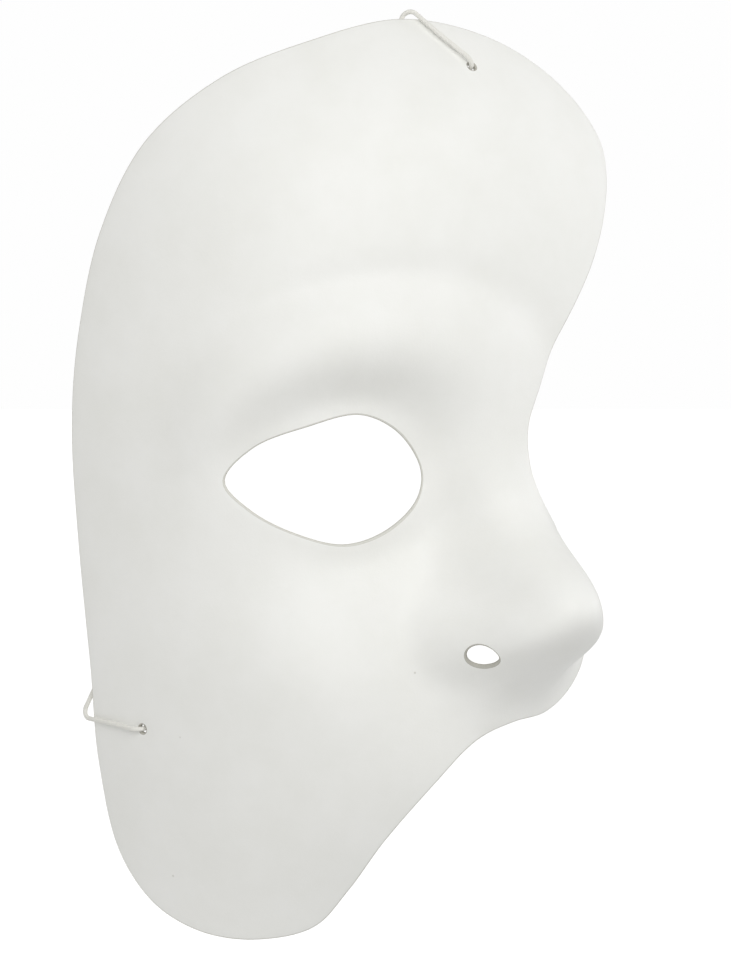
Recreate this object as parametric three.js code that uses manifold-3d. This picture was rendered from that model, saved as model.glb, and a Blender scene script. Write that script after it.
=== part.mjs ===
// A half-face masquerade mask: one thin moulded shell that covers the wearer's right forehead and cheek and the
// whole nose, held on by one thin elastic with a stopper knot behind each of its two cord holes.
// Millimetres. +X is the wearer's left, -Y the way the face looks, +Z up. The origin is on the wearer's nose
// bridge, between the eyes.
import * as THREE from "three";
import { mergeVertices } from "three/addons/utils/BufferGeometryUtils.js";
import Module from "manifold-3d";

// ---- driving dimensions ----
const WALL = 1.2; // thickness of the moulded shell
const SECTION_RADIUS = 75; // distance around the face, s, is this times the angle around the head
const WIDEST_Y = 84; // where the cross sections would reach their full half width
const ROUNDNESS = 0.8; // share of the cross section that is elliptical; the rest is flatter in front

// Horizontal cross sections, one every 25 mm upward from z = -150.
const SECTION_START = -150;
const SECTION_STEP = 25;
const SECTION_HALF_WIDTH = [50, 56, 61, 66, 70, 72.5, 76.5, 77, 76, 69.5, 57, 38];
const SECTION_FRONT_Y = [20, 32, 13.5, -1.5, 3, 4.5, -0.5, -5.5, -5.5, 2.5, 25, 58];

// The nose, one value every 8 mm upward from z = -80.
const NOSE_START = -80;
const NOSE_STEP = 8;
const NOSE_HEIGHT = [0, 0, 1.5, 7, 24, 33.5, 28, 15, 7.8, 2.8, 0.8, 0, 0, 0];
const NOSE_HALF_WIDTH = [13, 13, 13, 13, 13, 12.5, 12.5, 11.5, 11.5, 12, 13, 14, 15, 15];
const NOSE_ROUNDNESS = 2.95;
const WING = { x: 14.5, z: -44.5, halfWidth: 7, halfHeight: 8, height: 8 };

// The relief is laid around the eye, in two ovals about its centre. The trough beside the nose follows the almond of
// the opening, and the socket, the brow and the crease above it follow an oval that climbs towards the nose.
const EYE = { s: -43, z: -12, halfWidth: 22.5, halfHeight: 14 };
const SOCKET = { halfWidth: 21.5, halfHeight: 16, climb: 0.22, depth: 4.3 };
const BROW_HEIGHT = 3.8;
const BROW_CREASE_DEPTH = 0.9;
const TEAR_TROUGH_DEPTH = 2.6;
const CHEEK = { s: -46, z: -53, halfWidth: 23, halfHeight: 16.5, height: 3.7 };

// Cut edges, as [distance around the face, height], counter-clockwise seen from the front.
const OUTLINE = [
  [-20.5, 88], [-47, 82.5], [-68.5, 74.5], [-84.5, 61.5], [-93.5, 42], [-98, 20], [-100, 0], [-101, -25],
  [-101.5, -52], [-103, -75], [-100, -94], [-91, -105], [-76, -111.5], [-57, -113], [-41.5, -109.5],
  [-35.5, -101.5], [-29.5, -90], [-20.5, -78.5], [-9, -68], [0.5, -64.5], [10.5, -63], [21, -59],
  [28.5, -52.5], [31, -44.5], [28, -37], [21, -30.5], [12, -25], [6.5, -19], [3.5, -13], [2, -7], [2, 0],
  [6, 9.5], [12.5, 22], [20.5, 35], [26, 46], [29.5, 55.5], [30, 62], [25.5, 70], [16, 78.5], [2, 85],
];
const EYE_OPENING = [
  [-35, 2.3], [-47, -0.3], [-58.5, -5], [-64.5, -12], [-59, -18], [-49, -23], [-37.5, -25.5], [-27.5, -22.4],
  [-21.2, -16.4], [-20.2, -9.6], [-25.3, -2],
];
const NOSTRIL = { s: 15, z: -49.3, halfWidth: 3.7, halfHeight: 2.9 };
const CORD_HOLE_RADIUS = 1.3;
const TOP_HOLE = [-6, 77.5];
const SIDE_HOLE = [-89.7, -66.4];

// The elastic and its knots.
const CORD_DIAMETER = 1;
const CORD_GAP = 0.3;
const CORD_SIDES = 8;
const CORD_STEPS = 80;
const BEND_RADIUS = 2; // two diameters
const KNOT_RADIUS = 1.9;
const KNOT_LENGTH = 3.4;
const TAIL_LENGTH = 4;

// Mesh fineness.
const SPOKES = 120;
const RINGS = 17;

// ---- the surface of the face ----

// A smooth curve through evenly spaced control values (a uniform cubic B-spline).
function along(values, start, step, z) {
  const u = Math.min(Math.max((z - start) / step, 1), values.length - 2.000001);
  const i = Math.floor(u);
  const f = u - i;
  const before = (1 - f) ** 3 / 6;
  const at = (3 * f ** 3 - 6 * f ** 2 + 4) / 6;
  const after = (-3 * f ** 3 + 3 * f ** 2 + 3 * f + 1) / 6;
  return before * values[i - 1] + at * values[i] + after * values[i + 1] + (f ** 3 / 6) * values[i + 2];
}

const bump = (q) => Math.exp(-q);
const rise = (q) => 0.5 * (1 + Math.tanh(q));

// How far the nose and its two wings stand forward of the face.
function noseHeight(x, z) {
  const height = along(NOSE_HEIGHT, NOSE_START, NOSE_STEP, z);
  const width = along(NOSE_HALF_WIDTH, NOSE_START, NOSE_STEP, z);
  let forward = height * bump((Math.sqrt(x * x + 0.5) / width) ** NOSE_ROUNDNESS);
  for (const side of [-1, 1]) {
    const q = ((x - side * WING.x) / WING.halfWidth) ** 2 + ((z - WING.z) / WING.halfHeight) ** 2;
    forward += WING.height * bump(q ** 1.3);
  }
  return forward;
}

// How far the brow, eye socket and cheek stand out of the plain cross section.
function relief(s, z) {
  const ds = s - EYE.s;
  const dz = z - EYE.z;
  const almond = Math.hypot(ds / EYE.halfWidth, dz / EYE.halfHeight, 0.001);
  const oval = Math.hypot(ds / SOCKET.halfWidth, (dz - SOCKET.climb * ds) / SOCKET.halfHeight, 0.001);
  const above = rise((dz + 0.09 * ds) / 8);
  const inner = rise((ds - 4) / 10);
  const fade = rise((s + 72) / 8);
  const cheek = ((s - CHEEK.s) / CHEEK.halfWidth) ** 2 + ((z - CHEEK.z) / CHEEK.halfHeight) ** 2;
  let out = BROW_HEIGHT * above * fade * bump(((oval - 1.74) / 0.65) ** 2);
  out -= BROW_CREASE_DEPTH * above * fade * rise((ds + 12) / 8) * bump(((oval - 2.65) / 0.25) ** 2);
  out -= SOCKET.depth * above * fade * (0.5 + 0.6 * inner) * bump(((oval - 1) / 0.4) ** 2);
  out -= TEAR_TROUGH_DEPTH * (1 - above) * inner * bump(((almond - 1.25) / 0.4) ** 2);
  out += CHEEK.height * bump(cheek);
  return out;
}

// The point of the outer face at distance s around it and height z.
function facePoint(s, z) {
  const halfWidth = along(SECTION_HALF_WIDTH, SECTION_START, SECTION_STEP, z);
  const frontY = along(SECTION_FRONT_Y, SECTION_START, SECTION_STEP, z);
  const angle = s / SECTION_RADIUS;
  const back = 1 - Math.cos(angle);
  const x = halfWidth * Math.sin(angle);
  const y = frontY + (WIDEST_Y - frontY) * (ROUNDNESS * back + (1 - ROUNDNESS) * back * back);
  const out = relief(s, z);
  return new THREE.Vector3(
    x + Math.sin(angle) * out,
    y - Math.cos(angle) * out - noseHeight(x, z),
    z,
  );
}

function faceNormal(s, z) {
  const step = 0.05;
  const around = facePoint(s + step, z).sub(facePoint(s - step, z));
  const upward = facePoint(s, z + step).sub(facePoint(s, z - step));
  return around.cross(upward).normalize();
}

// A point at a height above the outer face; negative heights are inside the shell or behind it.
function abovePoint(s, z, height) {
  return facePoint(s, z).addScaledVector(faceNormal(s, z), height);
}

// ---- helpers ----

function toManifold(wasm, geometry) {
  const bare = geometry.clone();
  bare.deleteAttribute("normal");
  bare.deleteAttribute("uv");
  const merged = mergeVertices(bare, 1e-4);
  const mesh = new wasm.Mesh({
    numProp: 3,
    vertProperties: new Float32Array(merged.attributes.position.array),
    triVerts: new Uint32Array(merged.index.array),
  });
  return new wasm.Manifold(mesh);
}

function toGeometry(solid) {
  const mesh = solid.getMesh();
  const geometry = new THREE.BufferGeometry();
  geometry.setAttribute("position", new THREE.BufferAttribute(new Float32Array(mesh.vertProperties), 3));
  geometry.setIndex(new THREE.BufferAttribute(new Uint32Array(mesh.triVerts), 1));
  geometry.computeVertexNormals();
  return geometry;
}

// A closed curve through [s, z] points, taken from the eye's centre.
function loopAroundEye(points) {
  const controls = points.map(([s, z]) => new THREE.Vector3(s - EYE.s, z - EYE.z, 0));
  const curve = new THREE.CatmullRomCurve3(controls, true, "centripetal");
  curve.arcLengthDivisions = 1200;
  return curve;
}

const bearingOf = (point) => Math.atan2(point.y, point.x);
const wrapped = (angle) => Math.atan2(Math.sin(angle), Math.cos(angle));

// Distance from the eye's centre to a loop in one direction.
function radiusAt(loop, bearing) {
  const ahead = loop.findIndex((point, k) => {
    const before = wrapped(bearing - bearingOf(loop.at(k - 1)));
    return before >= 0 && before < 1 && wrapped(bearing - bearingOf(point)) < 0;
  });
  const low = loop.at(ahead - 1);
  const high = loop[ahead];
  const share = wrapped(bearing - bearingOf(low)) / wrapped(bearingOf(high) - bearingOf(low));
  return low.length() + (high.length() - low.length()) * share;
}

// A line through corner points, each turned on its own radius.
function roundedRoute(corners) {
  const points = [corners[0].at];
  for (let i = 1; i < corners.length - 1; i += 1) {
    const { at, radius } = corners[i];
    const arriving = at.clone().sub(corners[i - 1].at).normalize();
    const leaving = corners[i + 1].at.clone().sub(at).normalize();
    const turn = arriving.angleTo(leaving);
    const start = at.clone().addScaledVector(arriving, -radius * Math.tan(turn / 2));
    const inward = leaving.clone().addScaledVector(arriving, -arriving.dot(leaving)).normalize();
    for (const share of [0, 0.25, 0.5, 0.75, 1]) {
      const forward = radius * Math.sin(share * turn);
      const sideways = radius * (1 - Math.cos(share * turn));
      points.push(start.clone().addScaledVector(arriving, forward).addScaledVector(inward, sideways));
    }
  }
  points.push(corners.at(-1).at);
  return new THREE.CatmullRomCurve3(points, false, "centripetal");
}

// ---- the shell ----

// Spokes run from the eye opening to evenly spaced points of the outline, on the outer face and again one wall
// thickness behind it.
function shellGeometry() {
  const rim = loopAroundEye(EYE_OPENING).getPoints(600).slice(0, -1);
  const edge = loopAroundEye(OUTLINE).getSpacedPoints(SPOKES).slice(0, -1);
  const outer = [];
  const inner = [];
  for (const edgePoint of edge) {
    const bearing = bearingOf(edgePoint);
    const far = edgePoint.length();
    const near = radiusAt(rim, bearing);
    const growth = 0.5 + far / 120;
    for (let j = 0; j <= RINGS; j += 1) {
      const radius = near + (far - near) * (j / RINGS) ** growth;
      const s = EYE.s + radius * Math.cos(bearing);
      const z = EYE.z + radius * Math.sin(bearing);
      outer.push(facePoint(s, z));
      inner.push(abovePoint(s, z, -WALL));
    }
  }
  const back = outer.length;
  const at = (i, j) => (i % SPOKES) * (RINGS + 1) + j;
  const index = [];
  const quad = (a, b, c, d) => index.push(a, b, c, a, c, d);
  for (let i = 0; i < SPOKES; i += 1) {
    for (let j = 0; j < RINGS; j += 1) {
      quad(at(i, j), at(i, j + 1), at(i + 1, j + 1), at(i + 1, j));
      quad(back + at(i, j), back + at(i + 1, j), back + at(i + 1, j + 1), back + at(i, j + 1));
    }
    quad(at(i + 1, RINGS), at(i, RINGS), back + at(i, RINGS), back + at(i + 1, RINGS));
    quad(at(i, 0), at(i + 1, 0), back + at(i + 1, 0), back + at(i, 0));
  }
  const geometry = new THREE.BufferGeometry().setFromPoints([...outer, ...inner]);
  geometry.setIndex(index);
  return geometry;
}

// An oval cutter standing square through the wall at a point of the face.
function holeCutter(s, z, halfWidth, halfHeight) {
  const cutter = new THREE.CylinderGeometry(1, 1, 6 * WALL, 20);
  const normal = faceNormal(s, z);
  const across = new THREE.Vector3(0, 0, 1).cross(normal).normalize();
  const turn = new THREE.Matrix4().makeBasis(across, normal, across.clone().cross(normal));
  const middle = abovePoint(s, z, -WALL / 2);
  cutter.scale(halfWidth, 1, halfHeight);
  cutter.applyMatrix4(turn);
  cutter.translate(middle.x, middle.y, middle.z);
  return cutter;
}

function drilledShell(wasm) {
  const cutters = [
    holeCutter(-NOSTRIL.s, NOSTRIL.z, NOSTRIL.halfWidth, NOSTRIL.halfHeight),
    holeCutter(NOSTRIL.s, NOSTRIL.z, NOSTRIL.halfWidth, NOSTRIL.halfHeight),
    holeCutter(...TOP_HOLE, CORD_HOLE_RADIUS, CORD_HOLE_RADIUS),
    holeCutter(...SIDE_HOLE, CORD_HOLE_RADIUS, CORD_HOLE_RADIUS),
  ];
  let solid = toManifold(wasm, shellGeometry());
  for (const cutter of cutters) {
    solid = solid.subtract(toManifold(wasm, cutter));
  }
  return toGeometry(solid);
}

// ---- the elastic ----

// Out of the top hole, over the outer face and the top edge, straight down behind the mask, then over the side edge
// and across the outer face into the side hole.
const CORD_CORNERS = [
  { at: abovePoint(...TOP_HOLE, -WALL) },
  { at: abovePoint(...TOP_HOLE, 1.4), radius: BEND_RADIUS },
  { at: abovePoint(-12.7, 84, 1.1), radius: 25 },
  { at: new THREE.Vector3(-14.9, 17.4, 90.7), radius: BEND_RADIUS },
  { at: new THREE.Vector3(-67.6, 67.3, -64.8), radius: BEND_RADIUS },
  { at: abovePoint(-96.5, -65.4, 1.1), radius: 12 },
  { at: abovePoint(...SIDE_HOLE, 1.4), radius: BEND_RADIUS },
  { at: abovePoint(...SIDE_HOLE, -WALL) },
];

function cordGeometry() {
  const section = new THREE.Shape();
  for (let i = 0; i < CORD_SIDES; i += 1) {
    const angle = (2 * Math.PI * i) / CORD_SIDES;
    const x = (CORD_DIAMETER / 2) * Math.cos(angle);
    const y = (CORD_DIAMETER / 2) * Math.sin(angle);
    if (i === 0) {
      section.moveTo(x, y);
    } else {
      section.lineTo(x, y);
    }
  }
  section.closePath();
  const settings = { steps: CORD_STEPS, bevelEnabled: false, extrudePath: roundedRoute(CORD_CORNERS) };
  return new THREE.ExtrudeGeometry(section, settings);
}

// A stopper knot and its tail, as one turned body hanging behind a hole.
function knotGeometry(s, z) {
  const cord = CORD_DIAMETER / 2;
  const profile = [
    [0, 0], [1.3, 0.15], [KNOT_RADIUS, 1], [KNOT_RADIUS, 2.3], [1.3, KNOT_LENGTH - 0.2], [cord, KNOT_LENGTH],
    [cord, KNOT_LENGTH + TAIL_LENGTH], [0, KNOT_LENGTH + TAIL_LENGTH],
  ];
  const knot = new THREE.LatheGeometry(profile.map(([x, y]) => new THREE.Vector2(x, y)), 14);
  const behind = faceNormal(s, z).negate();
  const top = abovePoint(s, z, -WALL - CORD_GAP);
  knot.applyQuaternion(new THREE.Quaternion().setFromUnitVectors(new THREE.Vector3(0, 1, 0), behind));
  knot.translate(top.x, top.y, top.z);
  return knot;
}

// ---- the mask ----

const wasm = await Module();
wasm.setup();

const plastic = new THREE.MeshStandardMaterial({ color: 0xf0f0ec, roughness: 0.55, metalness: 0 });
const elastic = new THREE.MeshStandardMaterial({ color: 0xe6e5df, roughness: 0.9, metalness: 0 });

const part = new THREE.Group();
part.name = "half_face_mask";

const pieces = [
  ["mask_shell", drilledShell(wasm), plastic],
  ["elastic_cord", cordGeometry(), elastic],
  ["top_knot", knotGeometry(...TOP_HOLE), elastic],
  ["side_knot", knotGeometry(...SIDE_HOLE), elastic],
];
for (const [name, geometry, material] of pieces) {
  const mesh = new THREE.Mesh(geometry, material);
  mesh.name = name;
  part.add(mesh);
}

export default part;
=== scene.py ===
"""Looks for the half-face masquerade mask: a thin white moulded shell, its elastic and two knots.

Sizes are in millimetres and are turned to metres as each mesh is made. +X is the wearer's left, -Y the way
the face looks and +Z up, with the origin on the bridge of the nose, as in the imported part.
"""

import logging
import math
from dataclasses import dataclass, field
from enum import Enum
from typing import Mapping, Protocol, Sequence

import bpy
import numpy as np
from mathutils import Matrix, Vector
from mathutils.geometry import delaunay_2d_cdt


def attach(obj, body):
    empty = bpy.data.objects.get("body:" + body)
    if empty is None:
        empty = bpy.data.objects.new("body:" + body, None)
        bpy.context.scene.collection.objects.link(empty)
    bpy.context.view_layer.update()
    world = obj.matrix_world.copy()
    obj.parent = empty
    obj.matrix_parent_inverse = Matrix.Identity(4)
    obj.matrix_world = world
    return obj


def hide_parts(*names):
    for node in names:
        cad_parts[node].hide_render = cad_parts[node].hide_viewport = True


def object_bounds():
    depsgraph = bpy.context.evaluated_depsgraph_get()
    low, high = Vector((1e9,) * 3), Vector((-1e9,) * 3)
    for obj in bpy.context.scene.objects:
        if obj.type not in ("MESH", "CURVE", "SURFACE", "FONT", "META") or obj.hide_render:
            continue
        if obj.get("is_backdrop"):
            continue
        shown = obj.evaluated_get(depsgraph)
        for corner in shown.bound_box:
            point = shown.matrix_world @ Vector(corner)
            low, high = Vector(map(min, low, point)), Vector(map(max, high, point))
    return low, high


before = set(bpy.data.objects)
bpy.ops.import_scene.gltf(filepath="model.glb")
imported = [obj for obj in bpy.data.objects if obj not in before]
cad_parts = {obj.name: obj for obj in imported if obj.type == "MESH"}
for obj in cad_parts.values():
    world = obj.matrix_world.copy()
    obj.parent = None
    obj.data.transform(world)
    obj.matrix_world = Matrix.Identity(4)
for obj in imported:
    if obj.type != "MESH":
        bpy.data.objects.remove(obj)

MM = 0.001
BODY = "root"
# Plastic and cotton both bend light about this much.
IOR = 1.5
log = logging.getLogger("mask")

Pairs = Sequence[tuple[float, float]]


# ---- small tools ----


def linear(colour: str) -> tuple[float, float, float, float]:
    """Turns an sRGB hex colour to linear.

    Args:
        colour: six hex digits, with or without a leading #.

    Returns:
        Linear red, green and blue, and an alpha of one.
    """
    digits = colour.lstrip("#")
    parts = [int(digits[i : i + 2], 16) / 255 for i in (0, 2, 4)]
    red, green, blue = (c / 12.92 if c <= 0.04045 else ((c + 0.055) / 1.055) ** 2.4 for c in parts)
    return red, green, blue, 1.0


def add_node(
    tree: bpy.types.NodeTree,
    kind: str,
    settings: Mapping[str, object] | None = None,
    links: Mapping[str | int, object] | None = None,
) -> bpy.types.Node:
    """Adds a node with its settings, and sets or links its inputs.

    Args:
        tree: the node tree that gets the node.
        kind: the node's type name.
        settings: attributes of the node.
        links: input name or number to a value, or to an output socket that feeds it.

    Returns:
        The new node.
    """
    node = tree.nodes.new(kind)
    for name, value in (settings or {}).items():
        setattr(node, name, value)
    for name, value in (links or {}).items():
        if isinstance(value, bpy.types.NodeSocket):
            tree.links.new(value, node.inputs[name])
        else:
            node.inputs[name].default_value = value
    return node


def per_metre(size_mm: float) -> float:
    """Gives the texture scale whose features are this many millimetres across."""
    return 1.0 / (size_mm * MM)


def unit(vectors: np.ndarray) -> np.ndarray:
    """Gives each row vector a length of one."""
    return vectors / np.linalg.norm(vectors, axis=-1, keepdims=True)


def new_object(name: str, vertices: np.ndarray, faces: Sequence[Sequence[int]]) -> bpy.types.Object:
    """Makes a smooth-shaded mesh object in the scene.

    Args:
        name: the object's name.
        vertices: one point a row, in millimetres.
        faces: vertex numbers of each face.

    Returns:
        The object, at the origin.
    """
    mesh = bpy.data.meshes.new(name)
    mesh.from_pydata((vertices * MM).tolist(), [], [list(map(int, face)) for face in faces])
    mesh.polygons.foreach_set("use_smooth", [True] * len(mesh.polygons))
    mesh.update()
    made = bpy.data.objects.new(name, mesh)
    bpy.context.scene.collection.objects.link(made)
    return made


# ---- finishes ----


class Finish(Protocol):
    """A surface finish that can make its own material."""

    def material(self) -> bpy.types.Material:
        """Makes the material."""


def blank_material(name: str) -> tuple[bpy.types.Material, bpy.types.NodeTree, bpy.types.Node]:
    """Starts a material with an empty tree and its output.

    Args:
        name: the material's name.

    Returns:
        The material, its node tree and the output node.
    """
    made = bpy.data.materials.new(name)
    made.use_nodes = True
    made.node_tree.nodes.clear()
    output = add_node(made.node_tree, "ShaderNodeOutputMaterial")
    return made, made.node_tree, output


@dataclass(frozen=True)
class VacuumFormedPlastic:
    """Styrene sheet, vacuum formed over a face mould: matt, off-white and very slightly uneven.

    The sheet's own fine grain breaks up the highlight, the pull over the mould leaves soft clouds in the
    white, and handling leaves a few tiny specks, so it reads as moulded plastic and not as paint or paper.
    """

    name: str = "styrene_vacuum_formed"
    white: str = "#F4F4F1"
    cloud: str = "#F0F0EC"
    speck: str = "#C4C2B8"
    roughness: float = 0.52
    roughness_spread: float = 0.08
    grain_mm: float = 0.45
    grain_height_mm: float = 0.02
    ripple_mm: float = 5.0
    ripple_height_mm: float = 0.05
    cloud_mm: float = 16.0
    speck_gap_mm: float = 15.0
    speck_radius_mm: float = 0.16
    speck_fade: float = 2.2
    speck_strength: float = 0.55

    def material(self) -> bpy.types.Material:
        """Makes the clouded, grained and faintly specked plastic.

        Returns:
            The material.
        """
        made, tree, output = blank_material(self.name)
        place = add_node(tree, "ShaderNodeTexCoord").outputs["Object"]
        clouds = add_node(
            tree,
            "ShaderNodeTexNoise",
            links={"Vector": place, "Scale": per_metre(self.cloud_mm), "Detail": 5.0, "Roughness": 0.6},
        )
        # Grain finer than this can't be told apart at the size the mask is seen.
        grain = add_node(
            tree,
            "ShaderNodeTexNoise",
            links={"Vector": place, "Scale": per_metre(self.grain_mm), "Detail": 3.0, "Roughness": 0.55},
        )
        ripple = add_node(
            tree,
            "ShaderNodeTexNoise",
            links={"Vector": place, "Scale": per_metre(self.ripple_mm), "Detail": 2.0},
        )
        cloudiness = add_node(
            tree,
            "ShaderNodeMapRange",
            links={"Value": clouds.outputs["Fac"], "From Min": 0.35, "From Max": 0.7},
        )
        body = add_node(
            tree,
            "ShaderNodeMix",
            {"data_type": "RGBA"},
            {"Factor": cloudiness.outputs["Result"], 6: linear(self.white), 7: linear(self.cloud)},
        )
        specks = add_node(
            tree,
            "ShaderNodeTexVoronoi",
            links={"Vector": place, "Scale": per_metre(self.speck_gap_mm), "Randomness": 1.0},
        )
        in_speck = add_node(
            tree,
            "ShaderNodeMapRange",
            {"interpolation_type": "SMOOTHSTEP"},
            {
                "Value": specks.outputs["Distance"],
                "From Min": self.speck_radius_mm / self.speck_gap_mm,
                "From Max": self.speck_fade * self.speck_radius_mm / self.speck_gap_mm,
                "To Min": self.speck_strength,
                "To Max": 0.0,
            },
        )
        colour = add_node(
            tree,
            "ShaderNodeMix",
            {"data_type": "RGBA"},
            {"Factor": in_speck.outputs["Result"], 6: body.outputs[2], 7: linear(self.speck)},
        )
        roughness = add_node(
            tree,
            "ShaderNodeMapRange",
            links={
                "Value": grain.outputs["Fac"],
                "From Min": 0.3,
                "From Max": 0.7,
                "To Min": self.roughness - self.roughness_spread,
                "To Max": self.roughness + self.roughness_spread,
            },
        )
        wave = add_node(
            tree,
            "ShaderNodeBump",
            links={"Height": ripple.outputs["Fac"], "Distance": self.ripple_height_mm * MM},
        )
        relief = add_node(
            tree,
            "ShaderNodeBump",
            links={
                "Height": grain.outputs["Fac"],
                "Distance": self.grain_height_mm * MM,
                "Normal": wave.outputs["Normal"],
            },
        )
        shader = add_node(
            tree,
            "ShaderNodeBsdfPrincipled",
            links={
                "Base Color": colour.outputs[2],
                "Roughness": roughness.outputs["Result"],
                "IOR": IOR,
                "Normal": relief.outputs["Normal"],
            },
        )
        tree.links.new(shader.outputs["BSDF"], output.inputs["Surface"])
        return made


@dataclass(frozen=True)
class TrimmedEdge:
    """The same styrene where it was cut and rubbed smooth: finely lined and a little duller.

    Its colour is darker than the moulded faces, which is painted shade along the thin edge; the fine knife
    lines break that line up. The holes take a greyer colour still, which is painted shade for their walls.
    """

    name: str = "styrene_knife_trimmed"
    # Darker than the moulded white: painted shade along the thin edge.
    colour: str = "#E0DFD9"
    line_colour: str = "#CFCEC6"
    roughness: float = 0.68
    line_mm: float = 0.25
    line_height_mm: float = 0.03

    def material(self) -> bpy.types.Material:
        """Makes the cut edge.

        Returns:
            The material.
        """
        made, tree, output = blank_material(self.name)
        place = add_node(tree, "ShaderNodeTexCoord").outputs["Object"]
        lines = add_node(
            tree,
            "ShaderNodeTexNoise",
            links={"Vector": place, "Scale": per_metre(self.line_mm), "Detail": 4.0, "Distortion": 0.6},
        )
        colour = add_node(
            tree,
            "ShaderNodeMix",
            {"data_type": "RGBA"},
            {"Factor": lines.outputs["Fac"], 6: linear(self.colour), 7: linear(self.line_colour)},
        )
        relief = add_node(
            tree,
            "ShaderNodeBump",
            links={"Height": lines.outputs["Fac"], "Distance": self.line_height_mm * MM},
        )
        shader = add_node(
            tree,
            "ShaderNodeBsdfPrincipled",
            links={
                "Base Color": colour.outputs[2],
                "Roughness": self.roughness,
                "IOR": IOR,
                "Normal": relief.outputs["Normal"],
            },
        )
        tree.links.new(shader.outputs["BSDF"], output.inputs["Surface"])
        return made


@dataclass(frozen=True)
class BraidedCotton:
    """Cotton yarn braided over a rubber core: soft and dull, with painted shade between the yarns.

    The painted shade in the grooves and the fuzz keep the cord from melting into the plastic it lies on.
    """

    name: str = "cotton_braided_over_rubber"
    yarn: str = "#F1F0EB"
    # The colour of the painted shade in the grooves.
    shade: str = "#CFCDC3"
    roughness: float = 0.9
    fibre_mm: float = 0.12
    fibre_height_mm: float = 0.03
    shade_on_top: float = 0.1
    shade_in_grooves: float = 0.7
    fuzz: float = 0.35

    def material(self) -> bpy.types.Material:
        """Makes the braid's colour and fuzz; its yarns are in the mesh.

        Returns:
            The material.
        """
        made, tree, output = blank_material(self.name)
        place = add_node(tree, "ShaderNodeTexCoord").outputs["Object"]
        fibres = add_node(
            tree,
            "ShaderNodeTexNoise",
            links={"Vector": place, "Scale": per_metre(self.fibre_mm), "Detail": 3.0},
        )
        # Darkens the braid towards its grooves with painted shade, after how deep each point lies.
        groove = add_node(tree, "ShaderNodeAttribute", {"attribute_name": "groove"})
        shading = add_node(
            tree,
            "ShaderNodeMath",
            {"operation": "MULTIPLY_ADD"},
            {0: groove.outputs["Fac"], 1: self.shade_in_grooves, 2: self.shade_on_top},
        )
        colour = add_node(
            tree,
            "ShaderNodeMix",
            {"data_type": "RGBA"},
            {"Factor": shading.outputs["Value"], 6: linear(self.yarn), 7: linear(self.shade)},
        )
        relief = add_node(
            tree,
            "ShaderNodeBump",
            links={"Height": fibres.outputs["Fac"], "Distance": self.fibre_height_mm * MM},
        )
        shader = add_node(
            tree,
            "ShaderNodeBsdfPrincipled",
            links={
                "Base Color": colour.outputs[2],
                "Roughness": self.roughness,
                "IOR": IOR,
                "Sheen Weight": self.fuzz,
                "Sheen Roughness": 0.5,
                "Normal": relief.outputs["Normal"],
            },
        )
        tree.links.new(shader.outputs["BSDF"], output.inputs["Surface"])
        return made


# ---- the form of the face ----


def along(values: Sequence[float], start: float, step: float, z: np.ndarray) -> np.ndarray:
    """Runs a uniform cubic B-spline through evenly spaced control values.

    Args:
        values: the control values, upward.
        start: height of the first value.
        step: distance between values.
        z: heights to read.

    Returns:
        The spline's value at each height.
    """
    knots = np.asarray(values, float)
    u = np.clip((z - start) / step, 1, len(knots) - 2.000001)
    i = np.floor(u).astype(int)
    f = u - i
    before = (1 - f) ** 3 / 6
    at = (3 * f**3 - 6 * f**2 + 4) / 6
    after = (-3 * f**3 + 3 * f**2 + 3 * f + 1) / 6
    return before * knots[i - 1] + at * knots[i] + after * knots[i + 1] + f**3 / 6 * knots[i + 2]


def bump(q: np.ndarray) -> np.ndarray:
    """Gives a soft hill, one where q is nought and falling to nothing."""
    return np.exp(-q)


def rise(q: np.ndarray) -> np.ndarray:
    """Gives a soft step from nought to one."""
    return 0.5 * (1 + np.tanh(q))


def step_up(place: np.ndarray, step: tuple[float, float]) -> np.ndarray:
    """Gives a soft step, its place and softness given."""
    return rise((place - step[0]) / step[1])


def ring(size: np.ndarray, shape: tuple[float, float]) -> np.ndarray:
    """Gives a soft ring, its size and width given."""
    return bump(((size - shape[0]) / shape[1]) ** 2)


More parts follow.
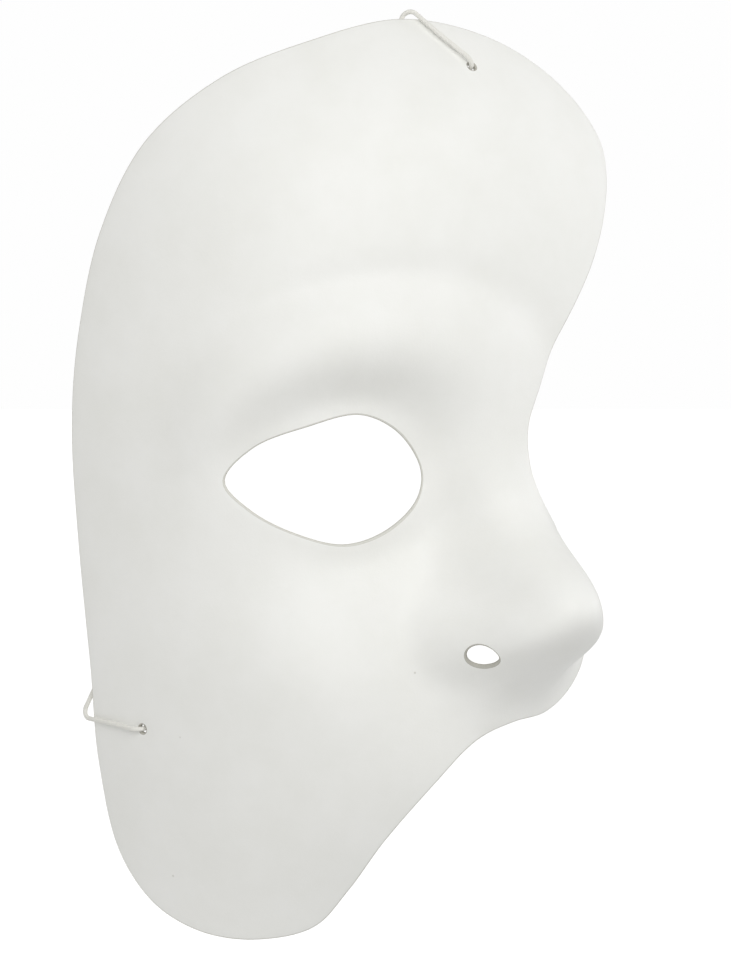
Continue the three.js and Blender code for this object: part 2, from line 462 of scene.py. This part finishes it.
@dataclass(frozen=True)
class FaceForm:
    """The outer face of the mask as a formula of the distance around it, s, and the height, z."""

    section_radius: float = 75.0
    widest_y: float = 84.0
    roundness: float = 0.8
    section_start: float = -150.0
    section_step: float = 25.0
    half_width: tuple[float, ...] = (50, 56, 61, 66, 70, 72.5, 76.5, 77, 76, 69.5, 57, 38)
    front_y: tuple[float, ...] = (20, 32, 13.5, -1.5, 3, 4.5, -0.5, -5.5, -5.5, 2.5, 25, 58)
    nose_start: float = -80.0
    nose_step: float = 8.0
    nose_height: tuple[float, ...] = (0, 0, 1.5, 7, 24, 33.5, 28, 15, 7.8, 2.8, 0.8, 0, 0, 0)
    nose_half_width: tuple[float, ...] = (13, 13, 13, 13, 13, 12.5, 12.5, 11.5, 11.5, 12, 13, 14, 15, 15)
    nose_roundness: float = 2.95
    wing: tuple[float, float, float, float, float] = (14.5, -44.5, 7.0, 8.0, 8.0)
    eye: tuple[float, float, float, float] = (-43.0, -12.0, 22.5, 14.0)
    socket: tuple[float, float, float, float] = (21.5, 16.0, 0.22, 4.3)
    brow_height: float = 3.8
    brow_crease_depth: float = 0.9
    tear_trough_depth: float = 2.6
    # Each ring runs round the eye: how far out and how wide, in socket sizes (the trough in eye sizes).
    brow_ring: tuple[float, float] = (1.74, 0.65)
    crease_ring: tuple[float, float] = (2.65, 0.25)
    socket_ring: tuple[float, float] = (1.0, 0.4)
    trough_ring: tuple[float, float] = (1.25, 0.4)
    # Each step is where it lies, from the eye's middle or along s, and how soft it is.
    inner_step: tuple[float, float] = (4.0, 10.0)
    temple_step: tuple[float, float] = (-72.0, 8.0)
    crease_step: tuple[float, float] = (-12.0, 8.0)
    lid_fall: float = 0.09
    lid_softness: float = 8.0
    cheek: tuple[float, float, float, float, float] = (-46.0, -53.0, 23.0, 16.5, 3.7)

    def nose(self, x: np.ndarray, z: np.ndarray) -> np.ndarray:
        """Gives how far the nose and its wings stand forward.

        Args:
            x: sideways places.
            z: heights.

        Returns:
            The forward distance.
        """
        height = along(self.nose_height, self.nose_start, self.nose_step, z)
        width = along(self.nose_half_width, self.nose_start, self.nose_step, z)
        forward = height * bump((np.sqrt(x * x + 0.5) / width) ** self.nose_roundness)
        wing_x, wing_z, half_width, half_height, wing_height = self.wing
        for side in (-1, 1):
            q = ((x - side * wing_x) / half_width) ** 2 + ((z - wing_z) / half_height) ** 2
            forward = forward + wing_height * bump(q**1.3)
        return forward

    def relief(self, s: np.ndarray, z: np.ndarray) -> np.ndarray:
        """Gives how far the brow, eye socket and cheek stand out.

        Args:
            s: distances around the face.
            z: heights.

        Returns:
            The outward distance, negative inward.
        """
        ds, dz = s - self.eye[0], z - self.eye[1]
        half_width, half_height, climb, depth = self.socket
        almond = np.sqrt((ds / self.eye[2]) ** 2 + (dz / self.eye[3]) ** 2 + 1e-6)
        oval = np.sqrt((ds / half_width) ** 2 + ((dz - climb * ds) / half_height) ** 2 + 1e-6)
        above = rise((dz + self.lid_fall * ds) / self.lid_softness)
        inner = step_up(ds, self.inner_step)
        fade = step_up(s, self.temple_step)
        cheek = ((s - self.cheek[0]) / self.cheek[2]) ** 2 + ((z - self.cheek[1]) / self.cheek[3]) ** 2
        crease = self.brow_crease_depth * step_up(ds, self.crease_step)
        deeper_inside = 0.5 + 0.6 * inner
        out = self.brow_height * above * fade * ring(oval, self.brow_ring)
        out = out - crease * above * fade * ring(oval, self.crease_ring)
        out = out - depth * above * fade * deeper_inside * ring(oval, self.socket_ring)
        out = out - self.tear_trough_depth * (1 - above) * inner * ring(almond, self.trough_ring)
        return out + self.cheek[4] * bump(cheek)

    def point(self, s: np.ndarray, z: np.ndarray) -> np.ndarray:
        """Gives points of the outer face.

        Args:
            s: distances around the face.
            z: heights.

        Returns:
            One point a row.
        """
        s, z = np.asarray(s, float), np.asarray(z, float)
        width = along(self.half_width, self.section_start, self.section_step, z)
        front = along(self.front_y, self.section_start, self.section_step, z)
        angle = s / self.section_radius
        back = 1 - np.cos(angle)
        x = width * np.sin(angle)
        y = front + (self.widest_y - front) * (self.roundness * back + (1 - self.roundness) * back * back)
        out = self.relief(s, z)
        across = x + np.sin(angle) * out
        return np.stack([across, y - np.cos(angle) * out - self.nose(x, z), z + 0 * across], -1)

    def slopes(self, s: np.ndarray, z: np.ndarray, step: float = 0.05) -> tuple[np.ndarray, np.ndarray]:
        """Gives how the face runs for each millimetre of s and of z.

        Args:
            s: distances around the face.
            z: heights.
            step: half the distance between the points compared.

        Returns:
            The run along s and the run along z.
        """
        around = (self.point(s + step, z) - self.point(s - step, z)) / (2 * step)
        upward = (self.point(s, z + step) - self.point(s, z - step)) / (2 * step)
        return around, upward

    def normal(self, s: np.ndarray, z: np.ndarray) -> np.ndarray:
        """Gives the outward direction of the face."""
        return unit(np.cross(*self.slopes(np.asarray(s, float), np.asarray(z, float))))

    def above(self, s: float, z: float, height: float) -> np.ndarray:
        """Gives a point at a height above the outer face, or behind it where the height is negative."""
        return self.point(s, z) + height * self.normal(s, z)

    def settle(self, s: np.ndarray, z: np.ndarray, move: np.ndarray) -> tuple[np.ndarray, np.ndarray]:
        """Moves points over the face by a small step in space.

        Args:
            s: distances around the face.
            z: heights.
            move: the steps, one a row.

        Returns:
            The new s and z.
        """
        around, upward = self.slopes(s, z)
        aa, au, uu = (np.sum(p * q, -1) for p, q in ((around, around), (around, upward), (upward, upward)))
        ma, mu = np.sum(move * around, -1), np.sum(move * upward, -1)
        det = aa * uu - au * au
        return s + (ma * uu - mu * au) / det, z + (mu * aa - ma * au) / det


# ---- the shell ----


def closed_curve(points: Pairs, spacing: float) -> np.ndarray:
    """Runs a smooth closed curve through points, evenly sampled.

    Args:
        points: the points it passes through.
        spacing: about how far apart its samples are.

    Returns:
        One sample a row.
    """
    given = np.asarray(points, float)
    fine: list[np.ndarray] = []
    for i in range(len(given)):
        p = [given[(i + k - 1) % len(given)] for k in range(4)]
        before, across, after = (np.linalg.norm(b - a) ** 0.5 for a, b in zip(p, p[1:]))
        middle = (p[2] - p[1]) / across
        leave = across * (middle + (p[1] - p[0]) / before - (p[2] - p[0]) / (before + across))
        meet = across * (middle + (p[3] - p[2]) / after - (p[3] - p[1]) / (across + after))
        for t in np.linspace(0, 1, 40, endpoint=False):
            fine.append(
                (2 * t**3 - 3 * t**2 + 1) * p[1]
                + (t**3 - 2 * t**2 + t) * leave
                + (3 * t**2 - 2 * t**3) * p[2]
                + (t**3 - t**2) * meet
            )
    line = np.array(fine + fine[:1])
    run = np.concatenate([[0], np.cumsum(np.linalg.norm(np.diff(line, axis=0), axis=1))])
    at = np.linspace(0, run[-1], max(12, round(run[-1] / spacing)), endpoint=False)
    return np.stack([np.interp(at, run, line[:, k]) for k in range(2)], -1)


def inside(loop: np.ndarray, points: np.ndarray) -> np.ndarray:
    """Tells which points lie inside a closed loop.

    Args:
        loop: the loop, one corner a row.
        points: one point a row.

    Returns:
        One truth value a point.
    """
    found = np.zeros(len(points), bool)
    for (ax, ay), (bx, by) in zip(loop, np.roll(loop, -1, axis=0)):
        crosses = (ay > points[:, 1]) != (by > points[:, 1])
        if ay != by:
            found ^= crosses & (points[:, 0] < ax + (points[:, 1] - ay) * (bx - ax) / (by - ay))
    return found


@dataclass(frozen=True)
class DrilledHole:
    """A round or oval hole made square through the shell at a point of the face."""

    s: float
    z: float
    half_width: float
    half_height: float

    def rim(self, face: FaceForm, count: int = 40, rounds: int = 8) -> np.ndarray:
        """Finds the hole's rim on the curved face.

        Args:
            face: the form of the face.
            count: how many points go round.
            rounds: how many times the points are moved nearer to the rim.

        Returns:
            Points of the rim as s and z, one a row, counter-clockwise.
        """
        centre, normal = face.point(self.s, self.z), face.normal(self.s, self.z)
        across = unit(np.cross([0.0, 0.0, 1.0], normal))
        upward = np.cross(normal, across)
        turn = np.linspace(0, 2 * math.pi, count, endpoint=False)[:, None]
        wanted = centre + self.half_width * np.cos(turn) * across + self.half_height * np.sin(turn) * upward
        s, z = np.full(count, self.s), np.full(count, self.z)
        for _ in range(rounds):
            miss = wanted - face.point(s, z)
            s, z = face.settle(s, z, miss - (miss @ normal)[:, None] * normal)
        return np.stack([s, z], -1)


@dataclass
class MaskShell:
    """The moulded shell: one thin wall with rounded cut edges, an eye opening, nostrils and cord holes."""

    face: FaceForm
    outer_finish: Finish
    inner_finish: Finish
    edge_finish: Finish
    hole_finish: Finish
    wall: float = 1.2
    lip: float = 0.4
    lip_steps: int = 4
    edge_spacing: float = 1.0
    spacing: float = 1.5
    nose_spacing: float = 0.8
    nose_box: Pairs = ((-27.0, -64.0), (27.0, -24.0))
    clear_of_edges: float = 0.6
    outline: Pairs = (
        (-20.5, 88), (-47, 82.5), (-68.5, 74.5), (-84.5, 61.5), (-93.5, 42), (-98, 20), (-100, 0),
        (-101, -25), (-101.5, -52), (-103, -75), (-100, -94), (-91, -105), (-76, -111.5), (-57, -113),
        (-41.5, -109.5), (-35.5, -101.5), (-29.5, -90), (-20.5, -78.5), (-9, -68), (0.5, -64.5),
        (10.5, -63), (21, -59), (28.5, -52.5), (31, -44.5), (28, -37), (21, -30.5), (12, -25), (6.5, -19),
        (3.5, -13), (2, -7), (2, 0), (6, 9.5), (12.5, 22), (20.5, 35), (26, 46), (29.5, 55.5), (30, 62),
        (25.5, 70), (16, 78.5), (2, 85),
    )
    eye_opening: Pairs = (
        (-35, 2.3), (-47, -0.3), (-58.5, -5), (-64.5, -12), (-59, -18), (-49, -23), (-37.5, -25.5),
        (-27.5, -22.4), (-21.2, -16.4), (-20.2, -9.6), (-25.3, -2),
    )
    holes: tuple[DrilledHole, ...] = (
        DrilledHole(-15, -49.3, 3.7, 2.9),
        DrilledHole(15, -49.3, 3.7, 2.9),
        DrilledHole(-6, 77.5, 0.9, 0.9),
        DrilledHole(-89.7, -66.4, 0.9, 0.9),
    )

    def drawn_in(self, loop: np.ndarray, into_hole: bool) -> np.ndarray:
        """Moves an edge back from the cut by one lip, over the face.

        Args:
            loop: the cut edge as s and z, counter-clockwise.
            into_hole: true where the material is outside the loop.

        Returns:
            The moved edge.
        """
        s, z = loop[:, 0], loop[:, 1]
        at = self.face.point(s, z)
        run = unit(np.roll(at, -1, axis=0) - np.roll(at, 1, axis=0))
        outward = np.cross(run, self.face.normal(s, z)) * (-1 if into_hole else 1)
        return np.stack(self.face.settle(s, z, -self.lip * unit(outward)), -1)

    def filling(self, loops: Sequence[np.ndarray]) -> np.ndarray:
        """Spreads points over the face between its edges, closer together on the nose.

        Args:
            loops: the edges, the outline first.

        Returns:
            The points as s and z, one a row.
        """
        spread: list[np.ndarray] = []
        nose = np.array(self.nose_box)
        for gap, on_nose in ((self.spacing, False), (self.nose_spacing, True)):
            low, high = (nose[0], nose[1]) if on_nose else (loops[0].min(0), loops[0].max(0))
            s, z = np.meshgrid(
                np.arange(low[0], high[0], gap),
                np.arange(low[1], high[1], gap * math.sqrt(3) / 2),
            )
            s[1::2] += gap / 2
            points = np.stack([s.ravel(), z.ravel()], -1)
            if not on_nose:
                off_nose = ((points < nose[0] - 0.5 * gap) | (points > nose[1] + 0.5 * gap)).any(1)
                points = points[off_nose]
            points = points[inside(loops[0], points)]
            for loop in loops[1:]:
                points = points[~inside(loop, points)]
            edges = np.concatenate(loops)
            clear = [
                (np.linalg.norm(part[:, None] - edges[None], axis=-1).min(1) > self.clear_of_edges * gap)
                for part in np.array_split(points, max(1, len(points) // 1500))
            ]
            spread.append(points[np.concatenate(clear)])
        return np.concatenate(spread)

    def flat_net(self) -> tuple[np.ndarray, list[list[int]]]:
        """Triangulates the face between its edges.

        Returns:
            The net's points as s and z, and its triangles, counter-clockwise.
        """
        loops = [self.drawn_in(closed_curve(self.outline, self.edge_spacing), False)]
        loops.append(self.drawn_in(closed_curve(self.eye_opening, self.edge_spacing), True))
        loops += [self.drawn_in(hole.rim(self.face), True) for hole in self.holes]
        points = np.concatenate([*loops, self.filling(loops)])
        edges: list[tuple[int, int]] = []
        start = 0
        for loop in loops:
            edges += [(start + k, start + (k + 1) % len(loop)) for k in range(len(loop))]
            start += len(loop)
        found = delaunay_2d_cdt([Vector(p) for p in points], edges, [list(range(len(loops[0])))], 1, 1e-6)
        net = np.array([tuple(v) for v in found[0]])
        triangles = np.array(found[2])
        middle = net[triangles].mean(1)
        keep = np.ones(len(triangles), bool)
        for loop in loops[1:]:
            keep &= ~inside(loop, middle)
        return net, triangles[keep].tolist()

    def rims(self, triangles: Sequence[Sequence[int]]) -> list[list[int]]:
        """Chains the net's free edges into loops, with the material on the left.

        Args:
            triangles: the net's triangles.

        Returns:
            The vertex numbers of each loop.
        """
        after: dict[int, int] = {}
        sides = {(t[k], t[(k + 1) % 3]) for t in triangles for k in range(3)}
        for a, b in sides:
            if (b, a) not in sides:
                after[a] = b
        chains: list[list[int]] = []
        while after:
            chain = [min(after)]
            while chain[-1] in after:
                chain.append(after.pop(chain[-1]))
            chains.append(chain[:-1])
        return chains

    def build(self) -> bpy.types.Object:
        """Builds both faces of the shell and the rounded lips that join them.

        Returns:
            The dressed shell.
        """
        net, triangles = self.flat_net()
        outer = self.face.point(net[:, 0], net[:, 1])
        normal = self.face.normal(net[:, 0], net[:, 1])
        points = [outer, outer - self.wall * normal]
        count = len(net)
        faces: list[list[int]] = [list(t) for t in triangles]
        faces += [[count + t[0], count + t[2], count + t[1]] for t in triangles]
        slots = [0] * len(triangles) + [1] * len(triangles)
        turns = [math.pi / 2 * k / self.lip_steps for k in range(1, self.lip_steps + 1)]
        profile = [(self.lip * math.sin(a), self.lip * (1 - math.cos(a))) for a in turns]
        profile += [(out, self.wall - depth) for out, depth in reversed(profile)]
        total = 2 * count
        for rim in self.rims(triangles):
            at, up = outer[rim], normal[rim]
            run = unit(np.roll(at, -1, axis=0) - np.roll(at, 1, axis=0))
            outward = unit(np.cross(run, up))
            rows = [rim]
            for out, depth in profile:
                points.append(at + out * outward - depth * up)
                rows.append(list(range(total, total + len(rim))))
                total += len(rim)
            rows.append([count + k for k in rim])
            centre = net[rim].mean(0)
            # Walls of drilled holes take the finish whose greyer colour is painted shade.
            drilled = any(math.dist(centre, (hole.s, hole.z)) < hole.half_width for hole in self.holes)
            for low, high in zip(rows, rows[1:]):
                for k in range(len(rim)):
                    n = (k + 1) % len(rim)
                    faces.append([low[k], high[k], high[n], low[n]])
                    slots.append(3 if drilled else 2)
        shell = new_object("moulded_shell", np.concatenate(points), faces)
        for finish in (self.outer_finish, self.inner_finish, self.edge_finish, self.hole_finish):
            shell.data.materials.append(finish.material())
        shell.data.polygons.foreach_set("material_index", slots)
        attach(shell, BODY)
        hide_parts("mask_shell")
        log.info("moulded shell: %d faces", len(faces))
        return shell


# ---- the elastic ----


def rounded_route(corners: Sequence[tuple[np.ndarray, float]], spacing: float) -> np.ndarray:
    """Runs a line through corners, turning each on its own radius.

    Args:
        corners: each corner and the radius it is turned on.
        spacing: distance between the line's points.

    Returns:
        One point a row.
    """
    points = [corners[0][0]]
    for (before, _), (at, radius), (after, _) in zip(corners, corners[1:], corners[2:]):
        arriving, leaving = unit(at - before), unit(after - at)
        turn = math.acos(float(np.clip(arriving @ leaving, -1, 1)))
        start = at - arriving * radius * math.tan(turn / 2)
        inward = unit(leaving - arriving * (arriving @ leaving))
        for share in np.linspace(0, 1, 25):
            forward, sideways = radius * math.sin(share * turn), radius * (1 - math.cos(share * turn))
            points.append(start + forward * arriving + sideways * inward)
    points.append(corners[-1][0])
    return even_line(np.array(points), spacing)


def even_line(line: np.ndarray, spacing: float) -> np.ndarray:
    """Samples a line evenly.

    Args:
        line: the line's points, one a row.
        spacing: about how far apart the samples are.

    Returns:
        The samples, one a row.
    """
    run = np.concatenate([[0], np.cumsum(np.linalg.norm(np.diff(line, axis=0), axis=1))])
    at = np.linspace(0, run[-1], max(2, round(run[-1] / spacing) + 1))
    return np.stack([np.interp(at, run, line[:, k]) for k in range(3)], -1)


def smooth_line(points: np.ndarray, spacing: float) -> np.ndarray:
    """Runs a smooth open curve through points.

    Args:
        points: the points it passes through, one a row.
        spacing: distance between the curve's samples.

    Returns:
        The samples, one a row.
    """
    padded = np.concatenate([[2 * points[0] - points[1]], points, [2 * points[-1] - points[-2]]])
    fine: list[np.ndarray] = []
    for p0, p1, p2, p3 in zip(padded, padded[1:], padded[2:], padded[3:]):
        for t in np.linspace(0, 1, 16, endpoint=False):
            curve = (2 * p0 - 5 * p1 + 4 * p2 - p3) * t**2 + (3 * p1 - p0 - 3 * p2 + p3) * t**3
            fine.append(p1 + 0.5 * ((p2 - p0) * t + curve))
    return even_line(np.array([*fine, points[-1]]), spacing)


class CordEnd(Enum):
    """How a length of elastic stops."""

    OPEN = "open"
    SEALED = "sealed"


@dataclass(frozen=True)
class BraidedTube:
    """A round braided cover over a line: yarns cross both ways and stand proud of the grooves between."""

    diameter: float = 1.0
    sides: int = 24
    step: float = 0.12
    strands: int = 6
    pitch: float = 2.8
    groove: float = 0.05
    # Any direction that no cord here starts along.
    off_line: tuple[float, float, float] = (0.31, 0.55, 0.77)

    def build(self, name: str, line: np.ndarray, first: CordEnd, last: CordEnd) -> bpy.types.Object:
        """Sweeps the braid along a line.

        Args:
            name: the object's name.
            line: the middle of the cord, evenly spaced, one point a row.
            first: how it stops at the start of the line.
            last: how it stops at the end.

        Returns:
            The tube, with how deep each point lies in the braid as its groove attribute.
        """
        run = unit(np.gradient(line, axis=0))
        side = unit(np.cross(run[0], self.off_line))
        turn = np.linspace(0, 2 * math.pi, self.sides, endpoint=False)
        rings: list[np.ndarray] = []
        depths: list[np.ndarray] = []
        for k, (at, ahead) in enumerate(zip(line, run)):
            side = unit(side - ahead * (side @ ahead))
            lift = np.cross(ahead, side)
            phase = 2 * math.pi * k * self.step / self.pitch
            right = np.cos(self.strands / 2 * (turn - phase))
            left = np.cos(self.strands / 2 * (turn + phase))
            depth = 1 - np.maximum(np.abs(right), np.abs(left))
            ends = self.taper(k, len(line), first, last)
            radius = (self.diameter / 2) * ends * (1 + self.groove - 3 * self.groove * depth)
            spoke = np.cos(turn)[:, None] * side + np.sin(turn)[:, None] * lift
            rings.append(at + radius[:, None] * spoke)
            depths.append(depth)
        points = np.concatenate([*rings, line[:1], line[-1:]])
        faces: list[list[int]] = []
        for k in range(len(line) - 1):
            for j in range(self.sides):
                n = (j + 1) % self.sides
                a, b = k * self.sides, (k + 1) * self.sides
                faces.append([a + j, a + n, b + n, b + j])
        start, stop, final = len(points) - 2, len(points) - 1, (len(line) - 1) * self.sides
        for j in range(self.sides):
            n = (j + 1) % self.sides
            faces += [[start, n, j], [stop, final + j, final + n]]
        tube = new_object(name, points, faces)
        groove = tube.data.attributes.new("groove", "FLOAT", "POINT")
        groove.data.foreach_set("value", np.concatenate([*depths, [0.5, 0.5]]))
        return tube

    def taper(self, k: int, count: int, first: CordEnd, last: CordEnd) -> float:
        """Rounds off a sealed end.

        Args:
            k: the ring's number.
            count: how many rings there are.
            first: how the tube starts.
            last: how it stops.

        Returns:
            What the ring's radius is multiplied by.
        """
        share = 1.0
        for end, from_end in ((first, k), (last, count - 1 - k)):
            if end is CordEnd.SEALED:
                near = min(1.0, (from_end * self.step + 0.06) / (0.5 * self.diameter))
                share *= math.sqrt(max(0.0, 1 - (1 - near) ** 2))
        return share


@dataclass
class Elastic:
    """The elastic that holds the mask on, at rest, from the top hole behind the shell to the side hole."""

    face: FaceForm
    finish: Finish
    braid: BraidedTube = field(default_factory=BraidedTube)
    wall: float = 1.2
    bend_radius: float = 2.0
    top_hole: tuple[float, float] = (-6.0, 77.5)
    side_hole: tuple[float, float] = (-89.7, -66.4)
    over_top_edge: tuple[float, float, float] = (-14.9, 17.4, 90.7)
    over_side_edge: tuple[float, float, float] = (-67.6, 67.3, -64.8)
    # Where the cord lies on the face between hole and edge: s, z and its middle's height.
    on_forehead: tuple[float, float, float] = (-12.7, 84.0, 1.1)
    on_cheek: tuple[float, float, float] = (-96.5, -65.4, 1.1)
    turn_height: float = 1.4

    def route(self) -> np.ndarray:
        """Gives the middle of the cord.

        Returns:
            One point a row, in millimetres.
        """
        corners = [
            (self.face.above(*self.top_hole, -self.wall), 0.0),
            (self.face.above(*self.top_hole, self.turn_height), self.bend_radius),
            (self.face.above(*self.on_forehead), 25.0),
            (np.array(self.over_top_edge), self.bend_radius),
            (np.array(self.over_side_edge), self.bend_radius),
            (self.face.above(*self.on_cheek), 12.0),
            (self.face.above(*self.side_hole, self.turn_height), self.bend_radius),
            (self.face.above(*self.side_hole, -self.wall), 0.0),
        ]
        return rounded_route(corners, self.braid.step)

    def build(self, knots: Sequence[bpy.types.Object]) -> bpy.types.Object:
        """Args:
            knots: the stopper knots at its ends; not used.

        Returns:
            The dressed cord.
        """
        line = self.route()
        cord = self.braid.build("elastic", line, CordEnd.OPEN, CordEnd.OPEN)
        cord.data.materials.append(self.finish.material())
        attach(cord, BODY)
        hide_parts("elastic_cord")
        return cord


@dataclass
class StopperKnot:
    """An overhand knot pulled tight behind a cord hole, with a short tail sealed by heat."""

    name: str
    node: str
    face: FaceForm
    finish: Finish
    hole: tuple[float, float]
    turned: float
    braid: BraidedTube = field(default_factory=BraidedTube)
    wall: float = 1.2
    middle_depth: float = 2.0
    # Across, away from the shell and sideways, from the middle of the knot.
    lay: tuple[tuple[float, float, float], ...] = (
        (0.0, -2.0, 0.0), (0.1, -1.6, -0.12), (0.2, -0.85, -0.8), (-0.9, 0.0, 0.55), (-1.1, 1.0, 0.3),
        (-0.45, 1.3, -0.05), (0.35, 0.85, -0.95), (1.1, 0.0, 0.0), (0.35, -0.85, 0.95), (-0.45, -1.3, 0.05),
        (-1.1, -1.0, -0.3), (-0.9, 0.0, -0.55), (0.2, 0.85, 0.8), (0.2, 1.6, 0.15), (0.12, 2.4, 0.1),
        (0.24, 3.3, 0.2), (0.36, 4.4, 0.3), (0.4, 5.4, 0.2),
    )

    def build(self) -> bpy.types.Object:
        """Builds the knot and its tail behind the hole.

        Returns:
            The dressed knot.
        """
        away = -self.face.normal(*self.hole)
        across = unit(np.cross(away, [0.0, 0.0, 1.0]))
        sideways = np.cross(away, across)
        a, b = math.cos(self.turned), math.sin(self.turned)
        across, sideways = a * across + b * sideways, a * sideways - b * across
        middle = self.face.above(*self.hole, -self.wall) + self.middle_depth * away
        points = np.array([middle + x * across + y * away + z * sideways for x, y, z in self.lay])
        line = smooth_line(points, self.braid.step)
        knot = self.braid.build(self.name, line, CordEnd.OPEN, CordEnd.SEALED)
        knot.data.materials.append(self.finish.material())
        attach(knot, BODY)
        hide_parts(self.node)
        log.info("%s behind the hole at s %.1f, z %.1f", self.name, *self.hole)
        return knot


# ---- the studio ----


@dataclass(frozen=True)
class SoftLamp:
    """A large square soft box, aimed at the mask; its place and size are in metres."""

    name: str
    place: tuple[float, float, float]
    watts: float
    size: float = 0.9
    tint: tuple[float, float, float] = (1.0, 1.0, 0.99)
    aim: tuple[float, float, float] = (-0.02, 0.0, 0.0)

    def hang(self) -> bpy.types.Object:
        """Hangs the lamp at its place.

        Returns:
            The lamp.
        """
        data = bpy.data.lights.new(self.name, "AREA")
        data.shape, data.size = "SQUARE", self.size
        data.energy, data.color = self.watts, self.tint
        made = bpy.data.objects.new(self.name, data)
        made.location = self.place
        made.rotation_mode = "QUATERNION"
        made.rotation_quaternion = (Vector(self.aim) - made.location).to_track_quat("-Z", "Y")
        bpy.context.scene.collection.objects.link(made)
        return made


@dataclass
class Studio:
    """A white room with soft boxes at the front and both sides, and a long lens at the right front."""

    azimuth: float = -35.0
    elevation: float = 2.0
    distance: float = 865.0
    lens: float = 150.0
    aim: tuple[float, float, float] = (-25.84, 17.58, -11.89)
    floor_drop: float = 230.0
    floor_radius: float = 20000.0
    floor_glow: float = 0.75
    room_white: str = "#FEFEFE"
    bright_side: tuple[float, float, float] = (0.08, 0.73, -0.68)
    dim_level: float = 0.21
    bright_level: float = 0.93
    lamps: tuple[SoftLamp, ...] = (
        SoftLamp("front_soft_box", (0.1, -1.1, 0.75), 4.8),
        SoftLamp("right_soft_box", (-0.7, -0.95, 0.45), 7.7),
        SoftLamp("left_soft_box", (1.2, -0.35, 0.3), 4.0, tint=(0.98, 0.985, 1.0)),
    )

    def camera(self) -> bpy.types.Object:
        """Places the camera.

        Returns:
            The camera, set as the scene's own.
        """
        az, el = math.radians(self.azimuth), math.radians(self.elevation)
        back = Vector((math.sin(az) * math.cos(el), -math.cos(az) * math.cos(el), math.sin(el)))
        data = bpy.data.cameras.new("camera")
        data.lens, data.sensor_width = self.lens, 36.0
        data.clip_start, data.clip_end = 0.05, 50.0
        made = bpy.data.objects.new("camera", data)
        made.location = Vector(self.aim) * MM + back * self.distance * MM
        made.rotation_mode = "QUATERNION"
        made.rotation_quaternion = (-back).to_track_quat("-Z", "Y")
        bpy.context.scene.collection.objects.link(made)
        bpy.context.scene.camera = made
        return made

    def room(self) -> None:
        """Fills the room with light thrown back by the backdrop and floor, and makes the backdrop plain."""
        world = bpy.data.worlds.new("white_room")
        world.use_nodes = True
        tree = world.node_tree
        tree.nodes.clear()
        place = add_node(tree, "ShaderNodeTexCoord").outputs["Generated"]
        toward = add_node(
            tree,
            "ShaderNodeVectorMath",
            {"operation": "DOT_PRODUCT"},
            {0: place, 1: tuple(Vector(self.bright_side).normalized())},
        )
        level = add_node(
            tree,
            "ShaderNodeMapRange",
            links={
                "Value": toward.outputs["Value"],
                "From Min": -1.0,
                "From Max": 1.0,
                "To Min": self.dim_level,
                "To Max": self.bright_level,
            },
        )
        sky = add_node(
            tree,
            "ShaderNodeBackground",
            links={"Color": (1.0, 1.0, 0.992, 1.0), "Strength": level.outputs["Result"]},
        )
        plain = add_node(
            tree,
            "ShaderNodeBackground",
            links={"Color": linear(self.room_white), "Strength": 1.0},
        )
        seen = add_node(tree, "ShaderNodeLightPath")
        mix = add_node(
            tree,
            "ShaderNodeMixShader",
            links={
                0: seen.outputs["Is Camera Ray"],
                1: sky.outputs["Background"],
                2: plain.outputs["Background"],
            },
        )
        output = add_node(tree, "ShaderNodeOutputWorld")
        tree.links.new(mix.outputs["Shader"], output.inputs["Surface"])
        bpy.context.scene.world = world
        bpy.context.scene.view_settings.view_transform = "Standard"

    def floor(self) -> bpy.types.Object:
        """Lays a wide pale floor well below the mask.

        Returns:
            The floor, marked as stage.
        """
        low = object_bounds()[0].z / MM - self.floor_drop
        turn = np.linspace(0, 2 * math.pi, 64, endpoint=False)
        across, away = self.floor_radius * np.cos(turn), self.floor_radius * np.sin(turn)
        disc = np.stack([across, away, np.full(len(turn), low)], -1)
        made = new_object("floor", disc, [list(range(len(turn)))])
        paint, tree, output = blank_material("white_painted_board")
        shader = add_node(
            tree,
            "ShaderNodeBsdfPrincipled",
            links={
                "Base Color": linear("#F4F4F2"),
                "Roughness": 0.9,
                "Emission Color": linear(self.room_white),
                "Emission Strength": self.floor_glow,
            },
        )
        tree.links.new(shader.outputs["BSDF"], output.inputs["Surface"])
        made.data.materials.append(paint)
        made.visible_diffuse = False
        made.visible_glossy = False
        made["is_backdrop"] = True
        return made

    def build(self) -> None:
        """Sets up the camera, light and room."""
        self.camera()
        for lamp in self.lamps:
            lamp.hang()
        self.room()
        self.floor()
        log.info("studio: camera at azimuth %.0f, elevation %.0f", self.azimuth, self.elevation)


def main() -> None:
    """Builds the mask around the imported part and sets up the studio."""
    logging.basicConfig(level=logging.INFO, format="%(message)s")
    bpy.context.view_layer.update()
    face = FaceForm()
    cotton = BraidedCotton()
    studio = Studio()
    studio.build()
    knots = [
        StopperKnot("top_stopper_knot", "top_knot", face, cotton, Elastic.top_hole, turned=0.6).build(),
        StopperKnot("side_stopper_knot", "side_knot", face, cotton, Elastic.side_hole, turned=2.1).build(),
    ]
    Elastic(face, cotton).build(knots)
    MaskShell(
        face,
        outer_finish=VacuumFormedPlastic(),
        inner_finish=VacuumFormedPlastic(
            name="styrene_vacuum_formed_inside",
            roughness=0.42,
            ripple_height_mm=0.08,
        ),
        edge_finish=TrimmedEdge(),
        # The hole walls' greyer colour is painted shade, where the walls lie in shadow.
        hole_finish=TrimmedEdge(name="styrene_hole_wall_painted_shade", colour="#C8C6BE", line_colour="#ABA9A0"),
    ).build()


if __name__ == "__main__":
    main()
